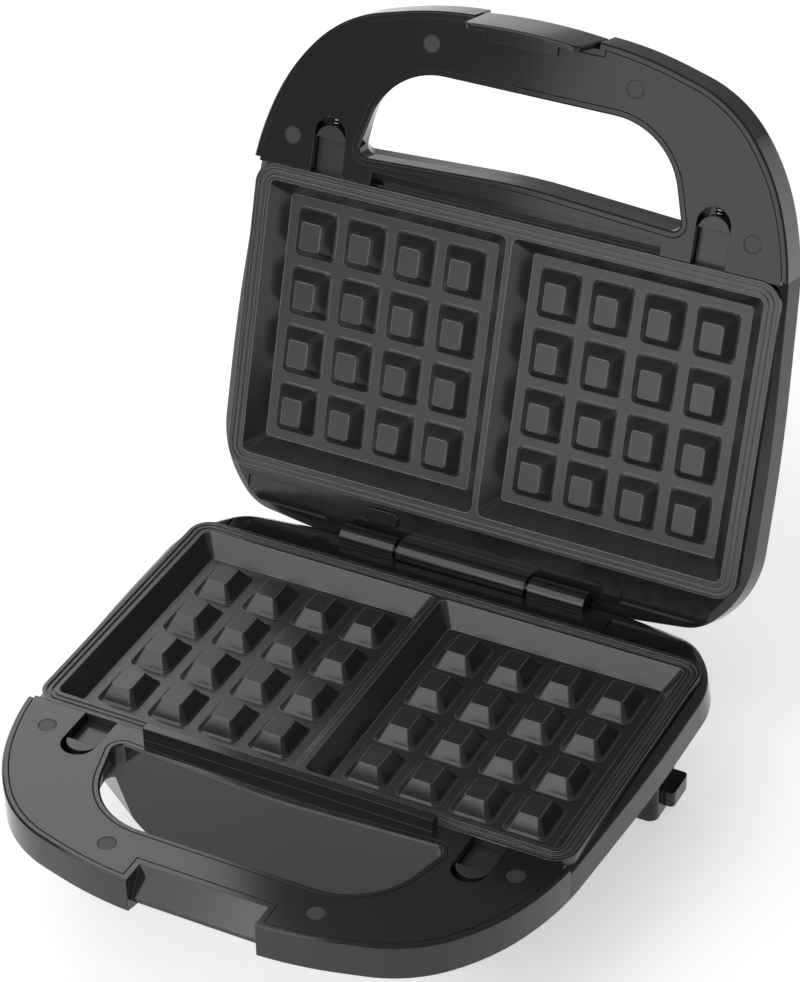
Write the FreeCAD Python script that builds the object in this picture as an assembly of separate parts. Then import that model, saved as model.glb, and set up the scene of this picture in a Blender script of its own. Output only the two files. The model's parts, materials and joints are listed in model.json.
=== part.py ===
import FreeCAD, Part
import math
import os

from FreeCAD import Vector

# A two-slice waffle and sandwich maker, standing open as it is used.
# Millimetres. While a half is modelled its plate faces up, X runs to the right,
# the handle points to -Y, the hinge lies at y = 0 and z = 0 is the parting plane.
# The lid is the mirrored half, turned about the hinge to OPEN_ANGLE.

# Hinge
OPEN_ANGLE = 107.0
HINGE_DROP = 1.65
BARREL_RADIUS = 4.8
LID_BARREL_HALF = 28.5
BARREL_GAP = 1.5
BASE_BARREL_LENGTH = 24.5
BARREL_END_WALL = 2.0
BARREL_WEB_REAR = 1.5
PIN_RADIUS = 2.0
PIN_PLAY = 0.05
HINGE_ROOM = 0.5

# Plate with two waffle cavities
PLATE_WIDTH = 226.0
PLATE_DEPTH = 129.5
PLATE_CORNER = 9.0
HINGE_TO_PLATE = 16.0
PARTING_GAP = 1.8
RIM_WIDTH = 6.5
RIM_HEIGHT = 3.5
RIM_GROOVE_WIDTH = 1.2
RIM_GROOVE_DEPTH = 0.8
RIM_GROOVE_COUNT = 2
CAVITY_DEPTH = 8.4
CAVITY_SLOPE = 6.4
CAVITY_CORNER = 3.0
CAVITY_FLOOR_CORNER = 1.4
DIVIDER_WIDTH = 2.4
PLATE_FLOOR = 3.0
PEG_COUNT = 4
PEG_HEIGHT = 6.1
PEG_GAP = 4.0
PEG_MARGIN = 4.0
PEG_TAPER = 4.8
PEG_FOOT_CORNER = 2.8
PEG_FOOT_RUN = 0.8
PEG_FOOT_RISE = 0.6
PEG_TOP_CORNER = 1.0
PEG_TOP_EDGE = 0.5
LUG_WIDTH = 12.0
LUG_HEIGHT = 2.3
LUG_REACH = 5.7

# Housing: plan corners as (out from the plate's side, away from its edge, radius)
REAR_CORNERS = [(5.9, -61.9, 780.0), (5.9, -2.5, 42.9), (-11.7, 17.6, 21.3), (-42.9, 21.6, 100.6)]
FRONT_CORNERS = [(-74.0, 76.6, 150.0), (-30.8, 65.2, 52.5), (-9.9, 40.9, 84.0), (1.4, 9.4, 118.0)]
BOWL_REAR_CORNERS = [(-2.5, -60.0, 400.0), (-2.5, -14.0, 40.0), (-17.0, 8.5, 24.0)]
BOWL_FRONT_CORNERS = [(-53.7, 19.5, 28.0), (-7.0, -11.5, 38.0)]
LID_BOWL_FRONT_CORNERS = [(-35.0, 6.0, 28.0), (-6.0, -10.0, 38.0)]
WALL = 2.4
FACE_GAP = 1.0
EDGE = 0.7
SIDE_DROP = 5.2
SIDE_LEAN = 1.4
BAND_HEIGHT = 14.6
BEVEL_RUN = 12.0
BEVEL_DROP = 2.9
BOWL_DEPTH = 46.5
BOWL_KNEE_RUN = 4.0
BOWL_KNEE_RISE = 11.0
BOWL_FOOT_RUN = 13.0
BOWL_ROUND_RUN = 8.0
BOWL_ROUND_RISE = 3.0
SEAM = 0.3

# Handle hole, flaring to its underside, and the latch notch in each handle's front edge
HOLE_REAR_WIDTH = 140.0
HOLE_FRONT_WIDTH = 118.0
HOLE_TO_PLATE = 10.7
HOLE_BOW = 4.0
HOLE_DEPTH = 39.2
HOLE_REAR_CORNER = 3.5
HOLE_FRONT_CORNER = 30.0
HOLE_BOW_RADIUS = 260.0
HOLE_WAIST = 9.3
HOLE_WAIST_FLARE = 5.0
HOLE_FRONT_FLARE = 9.0
HOLE_REAR_FLARE = 4.0
NOTCH_WIDTH = 52.8
NOTCH_DEPTH = 10.2
NOTCH_FOOT_IN = 3.0
NOTCH_FOOT_DROP = 10.4
NOTCH_NOSE = 0.9
NOTCH_UNDERCUT = 7.0
LID_NOTCH_DEPTH = 2.8
LID_NOTCH_RIM = 2.0
LID_POCKET_DEPTH = 7.4

# Inner frame
FACE_THICK = 2.4
DECK_SLOPE_RUN = 5.0
DECK_SLOPE_RISE = 2.2
PLATE_PLAY = 0.5
LEDGE_WIDTH = 6.0
LEDGE_THICK = 3.0
FRAME_WALL = 2.0
COVER_END = 1.5
GUARD_HALF = 61.0
GUARD_THICK = 3.9
GUARD_HEIGHT = 5.5
GUARD_SET = 0.6
GUARD_PLAY = 1.3
PANEL_IN = 47.0
PANEL_OUT = 10.0
PANEL_NEAR = 3.5
PANEL_FAR = 13.5
PANEL_DEPTH = 0.8
LEAD_COVER_X = -40.2
LEAD_COVER_WIDTH = 14.6
LEAD_COVER_NEAR = 2.4
LEAD_COVER_FAR = 9.2
LEAD_COVER_HEIGHT = 1.5
LEAD_COVER_CORNER = 2.5

# Plate release tabs
HOLE_TO_TAB = 12.0
SLOT_WIDTH = 14.0
SLOT_LENGTH = 24.2
TAB_PLAY = 0.3
TAB_TRAVEL = 3.5
TAB_END_PLAY = 0.4
TAB_BUTTON_LENGTH = 5.3
TAB_BUTTON_SINK = 1.1
TAB_THICK = 2.5
TAB_UNDER_RIM = 0.3
TAB_TONGUE = 2.5
SPRING_LENGTH = 9.0
SPRING_RADIUS = 1.9
SPRING_WIRE = 0.35
SPRING_TURNS = 6
SPRING_WELL = 2.4

# Screws, caps and feet
REAR_CAP_SHARE = 47 / 120
REAR_CAP_TO_PLATE = 13.3
FRONT_CAP_INSET = 70.0
FRONT_CAP_TO_PLATE = 61.8
CAP_RADIUS = 3.4
CAP_THICK = 1.2
CAP_PLAY = 0.1
HEAD_RADIUS = 2.6
HEAD_HEIGHT = 1.8
HEAD_PLAY = 0.2
SHANK_RADIUS = 1.5
SHANK_PLAY = 0.05
SHANK_LENGTH = 11.0
POST_RADIUS = 4.2
FRAME_BOSS_RADIUS = 5.2
FRAME_BOSS_DEPTH = 3.6
LEDGE_SCREW_X = 69.0
LEDGE_SCREW_INSET = 2.9
LEDGE_POST_RADIUS = 3.2
FOOT_HEIGHT = 21.0
REAR_FOOT_OUT = 10.7
REAR_FOOT_WIDTH = 21.0
REAR_FOOT_FROM_PLATE = 0.7
REAR_FOOT_LENGTH = 22.0
REAR_FOOT_CORNER = 4.0
FLANGE_OUT = 4.7
FLANGE_HEIGHT = 6.8
FLANGE_ABOVE_FOOT = 4.2
FLANGE_LENGTH = 14.7
FRONT_FOOT_X = 62.0
FRONT_FOOT_FROM_FRONT = 19.5
FRONT_FOOT_TOP_RADIUS = 15.0
FRONT_FOOT_RADIUS = 10.0
REAR_PAD_INSET = 8.6
PAD_RADIUS = 7.6
PAD_THICK = 2.0
PAD_PROUD = 1.0

# Heater, reflector and wiring inside each half
ELEMENT_RADIUS = 3.2
ELEMENT_GAP = 0.3
ELEMENT_SIDE = 28.0
ELEMENT_FRONT = 27.0
ELEMENT_REAR = 30.0
ELEMENT_LEAD_X = 20.0
ELEMENT_BEND = 14.0
PAN_SIDE = 13.0
PAN_END = 11.0
PAN_CORNER = 10.0
PAN_SHEET = 0.8
PAN_CLEAR = 5.2
PAN_WALL_HEIGHT = 6.0
PAN_POST_X = 62.0
PAN_POST_INSET = 40.0
PAN_POST_RADIUS = 5.0
CLIP_WIDTH = 8.0
CLIP_LENGTH = 12.0
CLIP_PLAY = 0.15
THERMOSTAT_RADIUS = 8.0
THERMOSTAT_HEIGHT = 9.0
THERMOSTAT_BLADE = 6.0
FUSE_X = -38.0
FUSE_RADIUS = 2.2
FUSE_LENGTH = 18.0
FUSE_GAP = 0.1
LEAD_RADIUS = 1.1
LEAD_BEND = 3.0
LEAD_BACK = 5.0
LEAD_DROP = 12.0
BLOCK_LENGTH = 30.0
BLOCK_WIDTH = 16.0
BLOCK_HEIGHT = 13.0
BLOCK_X = -36.0
GLAND_X = -52.0
GLAND_REACH = 9.0
GLAND_DROP = 30.0
GLAND_RADIUS = 6.0
GLAND_BORE = 3.6
GLAND_LENGTH = 20.0
GLAND_LIP = 2.0
GLAND_PLAY = 0.05
LENS_SPACING = 26.0
LENS_FROM_FRONT = 18.0
LENS_RADIUS = 3.8
LENS_FLANGE = 5.2
LENS_FLANGE_THICK = 1.2
LENS_DEPTH = 5.0
LENS_PLAY = 0.1
LAMP_RADIUS = 2.5
LAMP_LENGTH = 10.0

# Latch clip on the lid
LATCH_SIDE_PLAY = 0.5
LATCH_NARROWING = 1.9
LATCH_THICK = 2.2
LATCH_BULGE = 1.4
LATCH_SET_BACK = 0.3
LATCH_PIVOT_UP = 6.0
LATCH_PIVOT_IN = 3.2
LATCH_ARM = 2.2
LATCH_TRUNNION = 1.5
LATCH_TRUNNION_LENGTH = 2.2
LATCH_TAIL = 10.0
LATCH_UNDER = 0.3
LATCH_HOOK_THICK = 2.2
LATCH_HOOK_HALF = 15.4
LATCH_HOOK_GRIP = 2.5
LATCH_LIP = 1.3
LATCH_CORNER = 4.0
LATCH_ROOT = 0.9

# Levels and lines that follow from the sizes above
RIM_Z = -PARTING_GAP / 2
FACE_Z = -FACE_GAP / 2
SIDE_Z = FACE_Z - SIDE_DROP
BAND_Z = FACE_Z - BAND_HEIGHT
HANDLE_Z = BAND_Z - BEVEL_DROP
BOWL_Z = FACE_Z - BOWL_DEPTH
FOOT_Z = BOWL_Z - FOOT_HEIGHT
FLOOR_Z = FOOT_Z - PAD_PROUD
DECK_Z = SIDE_Z + DECK_SLOPE_RISE
LEDGE_Z = RIM_Z - RIM_HEIGHT
LEDGE_BOTTOM = LEDGE_Z - LEDGE_THICK
PLATE_FLOOR_Z = RIM_Z - CAVITY_DEPTH
PLATE_UNDER = PLATE_FLOOR_Z - PLATE_FLOOR
ELEMENT_Z = PLATE_UNDER - ELEMENT_GAP - ELEMENT_RADIUS
PAN_Z = ELEMENT_Z - PAN_CLEAR
PAN_UNDER = PAN_Z - PAN_SHEET
TAB_TOP = LEDGE_Z - TAB_UNDER_RIM
TAB_UNDER = TAB_TOP - TAB_THICK
TRAY_Z = TAB_UNDER - TAB_PLAY / 2
HALF_WIDTH = PLATE_WIDTH / 2
TAB_X = HOLE_REAR_WIDTH / 2 + HOLE_TO_TAB
PLATE_REAR = -HINGE_TO_PLATE
PLATE_FRONT = PLATE_REAR - PLATE_DEPTH
PLATE_MIDDLE = (PLATE_REAR + PLATE_FRONT) / 2
COVER_Y = PLATE_FRONT - COVER_END
FRONT_Y = PLATE_FRONT - FRONT_CORNERS[0][1]
GLAND_Y = PLATE_REAR + BOWL_REAR_CORNERS[-1][1] + GLAND_REACH
HOLE_Y = PLATE_FRONT - HOLE_TO_PLATE
SLOT_END = PLATE_FRONT - SLOT_LENGTH
TAB_FRONT = SLOT_END + TAB_TRAVEL + TAB_END_PLAY
ABOVE = 40.0
BEYOND = HALF_WIDTH + ABOVE


def mirrored_corners(front, rear):
    """Closed plan outline, anticlockwise, from the corners of its right side."""
    right = [(HALF_WIDTH + out, PLATE_FRONT - away, radius) for out, away, radius in front]
    right += [(HALF_WIDTH + out, PLATE_REAR + away, radius) for out, away, radius in rear]
    return right + [(-x, y, radius) for x, y, radius in reversed(right)]


def rectangle(x0, x1, y0, y1, radius):
    return [(x0, y0, radius), (x1, y0, radius), (x1, y1, radius), (x0, y1, radius)]


def moved_corners(corners, inset):
    """Corners of the outline moved inwards: edges shift, convex radii shrink, hollow ones grow."""
    count = len(corners)
    points = [Vector(x, y, 0) for x, y, radius in corners]
    along = [(points[(i + 1) % count] - points[i]).normalize() for i in range(count)]
    result = []
    for i in range(count):
        before, after = along[i - 1], along[i]
        turn = math.atan2(before.cross(after).z, before.dot(after))
        normal_sum = Vector(-before.y - after.y, before.x + after.x, 0)
        corner = points[i] + normal_sum * (inset / (1 + before.dot(after)))
        radius = corners[i][2] - inset * math.copysign(1, turn)
        result.append((corner, before, after, turn, max(radius, EDGE / 10)))
    return result


def outline_wire(corners, inset, z):
    """Wire of straight edges joined by tangent arcs."""
    rounds = []
    for corner, before, after, turn, radius in moved_corners(corners, inset):
        reach = radius * math.tan(abs(turn) / 2)
        start = corner - before * reach
        end = corner + after * reach
        bulge = (after - before).normalize() * (radius / math.cos(turn / 2) - radius)
        rounds.append((start, corner + bulge, end))
    edges = []
    lift = Vector(0, 0, z)
    for i, (start, middle, end) in enumerate(rounds):
        edges.append(Part.Arc(start + lift, middle + lift, end + lift).toShape())
        following = rounds[(i + 1) % len(rounds)][0]
        if end.distanceToPoint(following) > 1e-5:
            edges.append(Part.makeLine(end + lift, following + lift))
    return Part.Wire(edges)


def prism(corners, inset, low, high):
    return Part.Face(outline_wire(corners, inset, low)).extrude(Vector(0, 0, high - low))


def loft(corners, levels):
    """Solid through the outline at each (inset, height), with straight flanks."""
    return Part.makeLoft([outline_wire(corners, inset, z) for inset, z in levels], True, True)


def box(x0, x1, y0, y1, z0, z1):
    return Part.makeBox(x1 - x0, y1 - y0, z1 - z0, Vector(x0, y0, z0))


def upright(radius, x, y, low, high):
    return Part.makeCylinder(radius, high - low, Vector(x, y, low))


def along_x(radius, x0, x1, y, z):
    return Part.makeCylinder(radius, x1 - x0, Vector(x0, y, z), Vector(1, 0, 0))


def along_y(radius, x, y0, y1, z):
    return Part.makeCylinder(radius, y1 - y0, Vector(x, y0, z), Vector(0, 1, 0))


def both_sides(shape):
    return [shape, shape.mirror(Vector(0, 0, 0), Vector(1, 0, 0))]


def joined(shapes):
    return shapes[0].multiFuse(shapes[1:]).removeSplitter()


def group(shapes):
    return Part.makeCompound(shapes)


def bent_tube(points, radius, bend):
    """Round tube along straight runs joined by tangent arcs of one bend radius."""
    edges = []
    last = points[0]
    for before, corner, after in zip(points, points[1:], points[2:]):
        u = (corner - before).normalize()
        w = (after - corner).normalize()
        half_turn = u.getAngle(w) / 2
        reach = bend * math.tan(half_turn)
        start = corner - u * reach
        end = corner + w * reach
        bulge = (w - u).normalize() * (bend / math.cos(half_turn) - bend)
        edges.append(Part.makeLine(last, start))
        edges.append(Part.Arc(start, corner + bulge, end).toShape())
        last = end
    edges.append(Part.makeLine(last, points[-1]))
    circle = Part.makeCircle(radius, points[0], (points[1] - points[0]).normalize())
    return Part.Wire(edges).makePipeShell([Part.Wire([circle])], True, True)


OUTLINE = mirrored_corners(FRONT_CORNERS, REAR_CORNERS)
PLATE = rectangle(-HALF_WIDTH, HALF_WIDTH, PLATE_FRONT, PLATE_REAR, PLATE_CORNER)
PAN = rectangle(PAN_SIDE - HALF_WIDTH, HALF_WIDTH - PAN_SIDE, PLATE_FRONT + PAN_END, PLATE_REAR - PAN_END,
                PAN_CORNER)


def hole_wire(rear_flare, front_flare, outset, z):
    """Plan of the handle's hole at one height, its corners spread sideways by the flares."""
    rear = HOLE_REAR_WIDTH / 2 + rear_flare
    front = HOLE_FRONT_WIDTH / 2 + front_flare
    near = HOLE_Y - HOLE_DEPTH
    corners = [(-front, near, HOLE_FRONT_CORNER), (front, near, HOLE_FRONT_CORNER),
               (rear, HOLE_Y, HOLE_REAR_CORNER), (0.0, HOLE_Y - HOLE_BOW, HOLE_BOW_RADIUS),
               (-rear, HOLE_Y, HOLE_REAR_CORNER)]
    return outline_wire(corners, -outset, z)


def handle_hole(outset, lip):
    """Hand hole grown by outset, with a lip that widens its upper edge."""
    wires = [hole_wire(HOLE_REAR_FLARE, HOLE_FRONT_FLARE, outset, z) for z in (BOWL_Z, HANDLE_Z)]
    wires.append(hole_wire(0, HOLE_WAIST_FLARE, outset, FACE_Z - HOLE_WAIST))
    wires.append(hole_wire(0, 0, outset, FACE_Z - EDGE))
    wires.append(hole_wire(0, 0, outset + lip, FACE_Z))
    return Part.makeLoft(wires, True, True)


def cap_spots():
    """Places of the handle screws, both sides."""
    slot_side = TAB_X + SLOT_WIDTH / 2
    rear_x = slot_side + REAR_CAP_SHARE * (HALF_WIDTH - slot_side)
    right = [(rear_x, PLATE_FRONT - REAR_CAP_TO_PLATE),
             (HALF_WIDTH - FRONT_CAP_INSET, PLATE_FRONT - FRONT_CAP_TO_PLATE)]
    return right + [(-x, y) for x, y in right]


def ledge_screw_spots():
    """Places of the screws under the plate's rim."""
    rows = (PLATE_FRONT + LEDGE_SCREW_INSET, PLATE_REAR - LEDGE_SCREW_INSET)
    return [(side * LEDGE_SCREW_X, y) for side in (-1, 1) for y in rows]


def pan_post_spots():
    rows = (PLATE_FRONT + PAN_POST_INSET, PLATE_REAR - PAN_POST_INSET)
    return [(side * PAN_POST_X, y) for side in (-1, 1) for y in rows]


def hinge_z(lid):
    return HINGE_DROP if lid else -HINGE_DROP


def base_barrel_reach():
    start = LID_BARREL_HALF + BARREL_GAP
    return start, start + BASE_BARREL_LENGTH


def hinge_room(lid):
    """Space that the other half's barrels turn in."""
    radius = BARREL_RADIUS + HINGE_ROOM
    near, far = base_barrel_reach()
    if not lid:
        half = LID_BARREL_HALF + BARREL_GAP / 2
        behind = box(-half, half, 0, ABOVE, SIDE_Z, ABOVE)
        return [along_x(radius, -half, half, 0, hinge_z(lid)), behind]
    return both_sides(along_x(radius, near - BARREL_GAP / 2, far + BARREL_GAP, 0, hinge_z(lid)))


def catch_under():
    """Underside of the base's sloping catch, which the latch hooks."""
    return FACE_Z - NOTCH_FOOT_DROP - NOTCH_NOSE


def notch_depth(lid):
    """Depth of the latch notch in the handle's face."""
    return LID_NOTCH_DEPTH if lid else NOTCH_DEPTH


def notch_block(depth, outset, high):
    """Straight room of the latch notch grown by outset, up to a height."""
    half = NOTCH_WIDTH / 2 + outset
    return box(-half, half, FRONT_Y - ABOVE, FRONT_Y + depth + outset, BOWL_Z, high)


def notch_walls(lid):
    """Blocks in which the housing stays solid round the latch notch."""
    blocks = [notch_block(notch_depth(lid), WALL, ABOVE)]
    if lid:
        blocks.append(notch_block(LID_POCKET_DEPTH, WALL, FACE_Z - FACE_THICK - SEAM))
    return blocks


def notch(lid):
    """Latch notch: over and under a sloping catch on the base, a rim over the pivot's pocket on the lid."""
    if lid:
        rim = FACE_Z - LID_NOTCH_RIM
        profile = [
            (LID_POCKET_DEPTH, BOWL_Z),
            (LID_POCKET_DEPTH, rim - LID_POCKET_DEPTH + LID_NOTCH_DEPTH),
            (LID_NOTCH_DEPTH, rim),
            (LID_NOTCH_DEPTH, ABOVE),
        ]
    else:
        under = catch_under()
        profile = [
            (NOTCH_UNDERCUT, BOWL_Z),
            (NOTCH_UNDERCUT, under),
            (NOTCH_FOOT_IN, under),
            (NOTCH_FOOT_IN, under + NOTCH_NOSE),
            (NOTCH_DEPTH, FACE_Z),
            (NOTCH_DEPTH, ABOVE),
        ]
    profile = [(-ABOVE, ABOVE), (-ABOVE, BOWL_Z)] + profile
    half = NOTCH_WIDTH / 2
    points = [Vector(-half, FRONT_Y + deep, z) for deep, z in profile]
    return Part.Face(Part.makePolygon(points + points[:1])).extrude(Vector(2 * half, 0, 0))


def bowl_outline(lid):
    """Plan of the bowl at the handle's height, set back on the lid behind its hand hole."""
    front = LID_BOWL_FRONT_CORNERS if lid else BOWL_FRONT_CORNERS
    return mirrored_corners(front, BOWL_REAR_CORNERS)


def bowl_levels(inset):
    """Bowl flank: steep from the handle's underside, a knee, then a rounded foot."""
    floor = BOWL_Z + inset
    return [
        (inset + BOWL_FOOT_RUN, floor),
        (inset + BOWL_ROUND_RUN, floor + BOWL_ROUND_RISE),
        (inset + BOWL_KNEE_RUN, floor + BOWL_KNEE_RISE),
        (inset, BAND_Z),
    ]


def rear_foot():
    """Right rear foot: a block under the bowl with a flange that holds the wound cord."""
    outer = HALF_WIDTH - REAR_FOOT_OUT
    rear = PLATE_REAR - REAR_FOOT_FROM_PLATE
    inner = outer - REAR_FOOT_WIDTH
    front = rear - REAR_FOOT_LENGTH
    top = BAND_Z
    block = prism(rectangle(inner, outer, front, rear, REAR_FOOT_CORNER), 0, FOOT_Z, top)
    low = FOOT_Z + FLANGE_ABOVE_FOOT
    flange_corners = rectangle(inner, outer + FLANGE_OUT, rear - FLANGE_LENGTH, rear, REAR_FOOT_CORNER / 2)
    flange = prism(flange_corners, 0, low, low + FLANGE_HEIGHT)
    return joined([block, flange])


def front_foot():
    y = PLATE_FRONT + FRONT_FOOT_FROM_FRONT
    height = BOWL_Z + WALL - FOOT_Z
    return Part.makeCone(FRONT_FOOT_RADIUS, FRONT_FOOT_TOP_RADIUS, height, Vector(FRONT_FOOT_X, y, FOOT_Z))


def pad_spots():
    """Centres of the four rubber pads."""
    rear_x = HALF_WIDTH - REAR_FOOT_OUT - REAR_FOOT_WIDTH / 2
    rear_y = PLATE_REAR - REAR_FOOT_FROM_PLATE - REAR_PAD_INSET
    front_y = PLATE_FRONT + FRONT_FOOT_FROM_FRONT
    return [(side * x, y) for side in (-1, 1) for x, y in ((rear_x, rear_y), (FRONT_FOOT_X, front_y))]


def lens_spots():
    y = PLATE_FRONT + LENS_FROM_FRONT
    return [(side * LENS_SPACING / 2, y) for side in (-1, 1)]


def latch_pivot():
    """Pivot of the latch in the lid's half, as (y, z)."""
    return FRONT_Y + LATCH_PIVOT_IN, FACE_Z - LATCH_PIVOT_UP


def housing(lid):
    """Outer shell of one half: band, handle, bowl, screw posts and, on the base, the feet."""
    band = loft(OUTLINE, [(0, BAND_Z), (0, FACE_Z - EDGE), (EDGE, FACE_Z)])
    bevel = loft(OUTLINE, [(BEVEL_RUN, HANDLE_Z), (0, BAND_Z)])
    plan = bowl_outline(lid)
    bowl = loft(plan, bowl_levels(0))
    feet = [] if lid else both_sides(rear_foot()) + both_sides(front_foot())
    filled = joined([band, bevel, bowl] + feet)
    hollow = joined([
        prism(OUTLINE, WALL, BAND_Z, ABOVE),
        loft(OUTLINE, [(BEVEL_RUN + WALL, HANDLE_Z + WALL), (WALL, BAND_Z)]),
        loft(plan, bowl_levels(WALL)),
    ])
    hollow = hollow.cut([handle_hole(WALL, 0)] + notch_walls(lid))
    leaning = loft(OUTLINE, [(0, BAND_Z), (SIDE_LEAN, SIDE_Z)])
    side_room = box(-BEYOND, BEYOND, COVER_Y, ABOVE, BAND_Z, ABOVE).cut(leaning)
    body = filled.cut([hollow, handle_hole(0, EDGE), notch(lid), side_room])
    posts = [upright(POST_RADIUS, x, y, HANDLE_Z + WALL / 2, handle_post_top()) for x, y in cap_spots()]
    posts += [upright(LEDGE_POST_RADIUS, x, y, BOWL_Z + WALL / 2, LEDGE_BOTTOM)
              for x, y in ledge_screw_spots()]
    posts += [upright(PAN_POST_RADIUS, x, y, BOWL_Z + WALL / 2, PAN_UNDER) for x, y in pan_post_spots()]
    body = joined([body] + [post.common(filled) for post in posts])
    drill = SHANK_RADIUS + SHANK_PLAY
    holes = [upright(drill, x, y, handle_seat() - SHANK_LENGTH, ABOVE) for x, y in cap_spots()]
    holes += [upright(drill, x, y, ledge_seat() - SHANK_LENGTH, ABOVE) for x, y in ledge_screw_spots()]
    holes += [upright(drill, x, y, PAN_Z - SHANK_LENGTH, ABOVE) for x, y in pan_post_spots()]
    holes += hinge_room(lid)
    if lid:
        y, z = latch_pivot()
        reach = NOTCH_WIDTH / 2 + WALL + EDGE
        holes.append(along_x(LATCH_TRUNNION + PIN_PLAY, -reach, reach, y, z))
        holes += [upright(LENS_RADIUS + LENS_PLAY, x, y, BOWL_Z - WALL, BOWL_Z + 2 * WALL)
                  for x, y in lens_spots()]
    else:
        holes += base_hinge_barrels(SEAM)
        holes.append(gland_body(GLAND_RADIUS + GLAND_PLAY))
        recess = PAD_THICK - PAD_PROUD
        holes += [upright(PAD_RADIUS + CAP_PLAY, x, y, FOOT_Z, FOOT_Z + recess) for x, y in pad_spots()]
    return body.cut(holes).removeSplitter()


def handle_seat():
    """Height at which the handle screws' heads sit."""
    return FACE_Z - CAP_THICK - HEAD_HEIGHT - CAP_PLAY


def handle_post_top():
    return handle_seat() - FRAME_BOSS_DEPTH


def ledge_seat():
    """Height at which the rim screws' heads sit, sunk into the ledge."""
    return LEDGE_Z - HEAD_HEIGHT - CAP_PLAY


def tray(grow, low, high):
    """Plan of a release tab's slot, round at its front end, widened by grow."""
    half = SLOT_WIDTH / 2 + grow
    rear = PLATE_FRONT + LEDGE_WIDTH
    round_end = upright(half, TAB_X, SLOT_END + SLOT_WIDTH / 2, low, high)
    return joined([box(TAB_X - half, TAB_X + half, SLOT_END + SLOT_WIDTH / 2, rear, low, high), round_end])


def spring_seat():
    """Front end of a tab spring."""
    return TAB_FRONT - SPRING_LENGTH


def spring_z():
    return (TAB_TOP + TAB_UNDER) / 2


def inner_frame(lid):
    """Heat-proof frame round the plate with the handle's inner face, in one piece."""
    inside = WALL + SEAM
    face_low = FACE_Z - FACE_THICK
    face = prism(OUTLINE, inside, face_low, FACE_Z)
    face = face.cut([
        box(-BEYOND, BEYOND, COVER_Y, ABOVE, BOWL_Z, ABOVE),
        handle_hole(inside, 0),
        notch_block(notch_depth(lid), inside, ABOVE),
    ])
    deck = loft(OUTLINE, [(SIDE_LEAN, SIDE_Z), (DECK_SLOPE_RUN, DECK_Z)])
    deck = deck.cut(box(-BEYOND, BEYOND, FRONT_Y - ABOVE, COVER_Y + SEAM, BOWL_Z, ABOVE))
    ring = prism(PLATE, -PLATE_PLAY - FRAME_WALL, LEDGE_BOTTOM, SIDE_Z)
    ring = ring.common(prism(OUTLINE, inside, BOWL_Z, ABOVE))
    ring_front = PLATE_FRONT - PLATE_PLAY - FRAME_WALL
    wall = box(-BEYOND, BEYOND, ring_front, PLATE_FRONT, LEDGE_BOTTOM, FACE_Z)
    wall = wall.common(prism(OUTLINE, inside, BOWL_Z, ABOVE))
    trays = both_sides(tray(FRAME_WALL, TRAY_Z - FRAME_WALL, FACE_Z))
    tunnel_low = spring_z() - SPRING_WELL - FRAME_WALL
    tunnel = box(TAB_X - SPRING_WELL - FRAME_WALL, TAB_X + SPRING_WELL + FRAME_WALL,
                 spring_seat() - FRAME_WALL, SLOT_END + SLOT_WIDTH / 2, tunnel_low, face_low)
    trays += both_sides(tunnel)
    bosses = [upright(FRAME_BOSS_RADIUS, x, y, handle_post_top(), face_low) for x, y in cap_spots()]
    parts = [face, deck, ring, wall] + trays + bosses
    if lid:
        parts += lid_hinge_barrel() + [guard_recess(FRAME_WALL), lead_cover()]
    else:
        parts += base_hinge_barrels(0) + [guard()]
    frame = joined(parts)
    cuts = [prism(PLATE, -PLATE_PLAY, LEDGE_Z, ABOVE), prism(PLATE, LEDGE_WIDTH, BOWL_Z, ABOVE)]
    cuts += both_sides(tray(0, TRAY_Z, ABOVE))
    cuts += both_sides(box(TAB_X - SLOT_WIDTH / 2, TAB_X + SLOT_WIDTH / 2,
                           PLATE_FRONT, PLATE_FRONT + LEDGE_WIDTH, BOWL_Z, ABOVE))
    cuts += both_sides(along_y(SPRING_WELL, TAB_X, spring_seat(), SLOT_END + SLOT_WIDTH, spring_z()))
    cuts += [upright(CAP_RADIUS + CAP_PLAY, x, y, FACE_Z - CAP_THICK - CAP_PLAY, ABOVE)
             for x, y in cap_spots()]
    cuts += [upright(HEAD_RADIUS + HEAD_PLAY, x, y, handle_seat(), ABOVE) for x, y in cap_spots()]
    cuts += [upright(SHANK_RADIUS + SHANK_PLAY, x, y, BOWL_Z, ABOVE) for x, y in cap_spots()]
    cuts += [upright(HEAD_RADIUS + CAP_PLAY, x, y, ledge_seat(), LEDGE_Z) for x, y in ledge_screw_spots()]
    cuts += [upright(SHANK_RADIUS + SHANK_PLAY, x, y, BOWL_Z, LEDGE_Z) for x, y in ledge_screw_spots()]
    cuts += both_sides(box(HALF_WIDTH - PANEL_IN, HALF_WIDTH - PANEL_OUT, PLATE_REAR + PANEL_NEAR,
                           PLATE_REAR + PANEL_FAR, DECK_Z - PANEL_DEPTH, ABOVE))
    cuts += hinge_room(lid)
    if lid:
        cuts.append(guard_recess(0))
    half = pin_bore_half()
    cuts.append(along_x(PIN_RADIUS + PIN_PLAY, -half, half, 0, hinge_z(lid)))
    return frame.cut(cuts).removeSplitter()


def guard():
    """Raised bar between the plate and the handle that keeps batter and fingers apart."""
    rear = PLATE_FRONT - PLATE_PLAY - GUARD_SET
    return box(-GUARD_HALF, GUARD_HALF, rear - GUARD_THICK, rear,
               FACE_Z - FACE_THICK, FACE_Z + GUARD_HEIGHT)


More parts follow.
